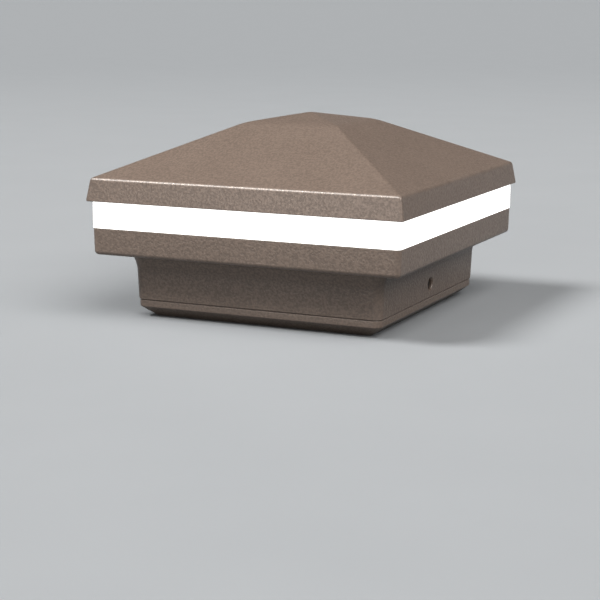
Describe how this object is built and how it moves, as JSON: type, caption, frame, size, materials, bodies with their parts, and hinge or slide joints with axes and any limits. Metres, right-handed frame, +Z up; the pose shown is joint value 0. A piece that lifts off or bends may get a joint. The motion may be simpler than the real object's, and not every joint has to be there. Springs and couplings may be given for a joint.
{
  "type": "deck post cap light",
  "caption": "Square hipped-roof light that caps a timber post, with an opal lens band under the eaves, a tray, a neck and an adapter ring.",
  "frame": {"origin": "middle of the adapter ring's bottom face, on the post's axis", "axes": "+Z up the post to the roof's peak; the set screws lie along X, on the left and right faces; the terminal block's wire entries face -Y"},
  "size_m": [0.138, 0.138, 0.0825],
  "materials": {
    "bronze_coat": "satin",
    "opal_lens": "satin",
    "black_rubber": "matte",
    "reflector_white": "satin",
    "bare_aluminium": "satin",
    "screw_steel": "satin",
    "board_white": "satin",
    "led_chip": "gloss",
    "board_green": "gloss",
    "standoff_brass": "satin",
    "capacitor_sleeve": "gloss",
    "ferrite": "matte",
    "chip_black": "matte",
    "terminal_green": "satin",
    "wire_red": "satin",
    "wire_black": "satin",
    "wire_white": "satin",
    "black_oxide": "satin"
  },
  "bodies": {
    "base": {"base_casting": "bronze_coat", "adapter_ring": "bronze_coat", "post_pads": "black_rubber", "lead_grommet": "black_rubber", "lower_gasket": "black_rubber", "floor_reflector": "reflector_white", "led_carrier": "bare_aluminium", "carrier_screws": "screw_steel", "led_board_front": "board_white", "led_board_right": "board_white", "led_board_back": "board_white", "led_board_left": "board_white", "led_chips_front": "led_chip", "led_chips_right": "led_chip", "led_chips_back": "led_chip", "led_chips_left": "led_chip", "driver_board": "board_green", "board_standoffs": "standoff_brass", "board_screws": "screw_steel", "smoothing_capacitor": "capacitor_sleeve", "inductor": "ferrite", "bridge_rectifier": "chip_black", "control_chip": "chip_black", "terminal_block": "terminal_green", "terminal_screws": "screw_steel", "wire_positive": "wire_red", "wire_negative": "wire_black", "corner_jumpers": "wire_white", "roof_screws": "screw_steel", "sealing_washers": "black_rubber"},
    "roof": {"roof_casting": "bronze_coat", "lens_ring": "opal_lens", "upper_gasket": "black_rubber", "roof_reflector": "reflector_white", "reflector_screws": "screw_steel"},
    "set_screw_left": {"set_screw_left": "black_oxide"},
    "set_screw_right": {"set_screw_right": "black_oxide"}
  },
  "joints": [
    {"name": "roof_lift", "type": "slide", "parent": "base", "child": "roof", "axis": [0, 0, 1], "range_m": [0, 0.06]},
    {"name": "set_screw_left_in", "type": "slide", "parent": "base", "child": "set_screw_left", "axis": [1, 0, 0], "range_m": [0, 0.003]},
    {"name": "set_screw_right_in", "type": "slide", "parent": "base", "child": "set_screw_right", "axis": [-1, 0, 0], "range_m": [0, 0.003]}
  ]
}
